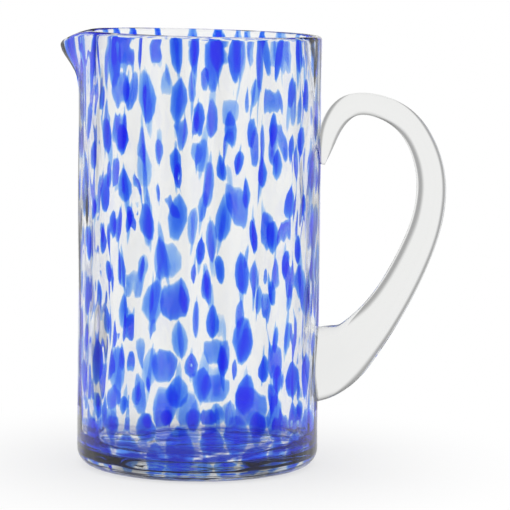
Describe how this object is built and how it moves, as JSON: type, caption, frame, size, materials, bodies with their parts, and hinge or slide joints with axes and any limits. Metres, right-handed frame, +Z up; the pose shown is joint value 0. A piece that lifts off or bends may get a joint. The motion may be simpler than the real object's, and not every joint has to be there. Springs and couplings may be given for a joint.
{
  "type": "pitcher",
  "caption": "Straight-sided clear blown glass pitcher with a pulled pouring lip, an applied loop handle of clear glass and blue glass chips let into its wall.",
  "frame": {"origin": "on the vessel's axis, at the underside of its base", "axes": "+Z up along the vessel's axis, +X towards the handle, -X towards the pouring lip"},
  "size_m": [0.1789, 0.112, 0.2],
  "materials": {
    "clear_glass": "clear, glossy, hand blown",
    "handle_glass": "clear, glossy, solid drawn gather",
    "blue_glass": "cobalt blue, transparent, glossy"
  },
  "bodies": {
    "root": {"blue_chips_band_1_back": "blue_glass", "blue_chips_band_1_front": "blue_glass", "blue_chips_band_1_handle_side": "blue_glass", "blue_chips_band_1_lip_side": "blue_glass", "blue_chips_band_2_back": "blue_glass", "blue_chips_band_2_front": "blue_glass", "blue_chips_band_2_handle_side": "blue_glass", "blue_chips_band_2_lip_side": "blue_glass", "blue_chips_band_3_back": "blue_glass", "blue_chips_band_3_front": "blue_glass", "blue_chips_band_3_handle_side": "blue_glass", "blue_chips_band_3_lip_side": "blue_glass", "blue_chips_band_4_back": "blue_glass", "blue_chips_band_4_front": "blue_glass", "blue_chips_band_4_handle_side": "blue_glass", "blue_chips_band_4_lip_side": "blue_glass", "blue_chips_band_5_back": "blue_glass", "blue_chips_band_5_front": "blue_glass", "blue_chips_band_5_handle_side": "blue_glass", "blue_chips_band_5_lip_side": "blue_glass", "blue_chips_band_6_back": "blue_glass", "blue_chips_band_6_front": "blue_glass", "blue_chips_band_6_handle_side": "blue_glass", "blue_chips_band_6_lip_side": "blue_glass", "blue_chips_band_7_back": "blue_glass", "blue_chips_band_7_front": "blue_glass", "blue_chips_band_7_handle_side": "blue_glass", "blue_chips_band_7_lip_side": "blue_glass", "blue_chips_band_8_back": "blue_glass", "blue_chips_band_8_front": "blue_glass", "blue_chips_band_8_handle_side": "blue_glass", "blue_chips_band_8_lip_side": "blue_glass", "glass_body": "clear_glass", "handle": "handle_glass"}
  },
  "joints": []
}
